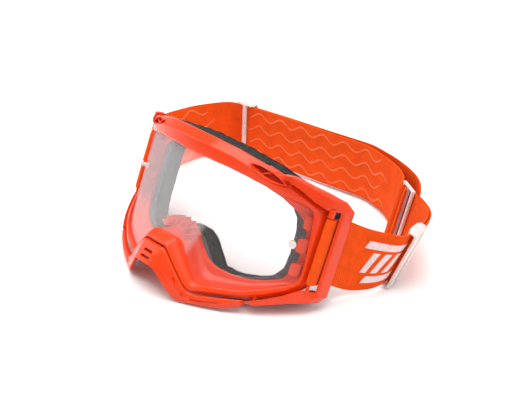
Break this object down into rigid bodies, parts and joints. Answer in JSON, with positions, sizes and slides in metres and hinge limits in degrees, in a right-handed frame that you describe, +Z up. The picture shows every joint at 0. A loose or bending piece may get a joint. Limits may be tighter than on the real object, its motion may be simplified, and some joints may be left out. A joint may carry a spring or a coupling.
{
  "type": "off-road goggles",
  "caption": "Wrap-around off-road goggles with clear lens, clip-on nose guard, layered face foam, swinging outriggers and an adjustable elastic head strap, resting on a table.",
  "frame": {"origin": "centre of the footprint of the whole pair, at table level", "axes": "+X towards the wearer's left and along the longest extent, +Y from the lens back to the strap, +Z up"},
  "size_m": [0.2594, 0.2192, 0.1051],
  "materials": {
    "frame": "glossy bright orange",
    "lens": "clear polished",
    "tear_off_post": "translucent",
    "nose_guard": "glossy bright orange",
    "foam_base": "dense foam",
    "foam_core": "open-cell foam",
    "foam_face": "fleece",
    "vent_foam": "open-cell foam",
    "outrigger": "glossy bright orange",
    "webbing": "twill elastic webbing",
    "slider": "translucent off-white"
  },
  "bodies": {
    "frame": {"frame": "frame", "lens": "lens", "tear_off_post_left": "tear_off_post", "tear_off_post_right": "tear_off_post", "foam_base": "foam_base", "foam_core": "foam_core", "foam_face": "foam_face", "vent_foam_top": "vent_foam", "vent_foam_bottom_left": "vent_foam", "vent_foam_bottom_right": "vent_foam", "strap_left": "webbing", "strap_right": "webbing", "strap_left_return": "webbing", "strap_right_return": "webbing", "strap_ring": "slider"},
    "nose_guard": {"nose_guard": "nose_guard"},
    "outrigger_left": {"outrigger_left": "outrigger", "strap_loop_left": "webbing"},
    "outrigger_right": {"outrigger_right": "outrigger", "strap_loop_right": "webbing"},
    "slider_left": {"slider_left": "slider"},
    "slider_right": {"slider_right": "slider"}
  },
  "joints": [
    {"name": "nose_guard_pull", "type": "slide", "parent": "frame", "child": "nose_guard", "axis": [0, -0.9336, 0.3584], "range_m": [0, 0.025]},
    {"name": "outrigger_left_swing", "type": "hinge", "parent": "frame", "child": "outrigger_left", "pos_m": [0.07305, -0.05551, 0.04605], "axis": [0, -0.3584, -0.9336], "range_deg": [0, 8]},
    {"name": "outrigger_right_swing", "type": "hinge", "parent": "frame", "child": "outrigger_right", "pos_m": [-0.05993, -0.05551, 0.04605], "axis": [0, 0.3584, 0.9336], "range_deg": [0, 8]},
    {"name": "slider_left_shift", "type": "slide", "parent": "frame", "child": "slider_left", "axis": [0.225, -0.9744, 0], "range_m": [0, 0.003]},
    {"name": "slider_right_shift", "type": "slide", "parent": "frame", "child": "slider_right", "axis": [0.9816, 0.1908, 0], "range_m": [0, 0.025]}
  ]
}
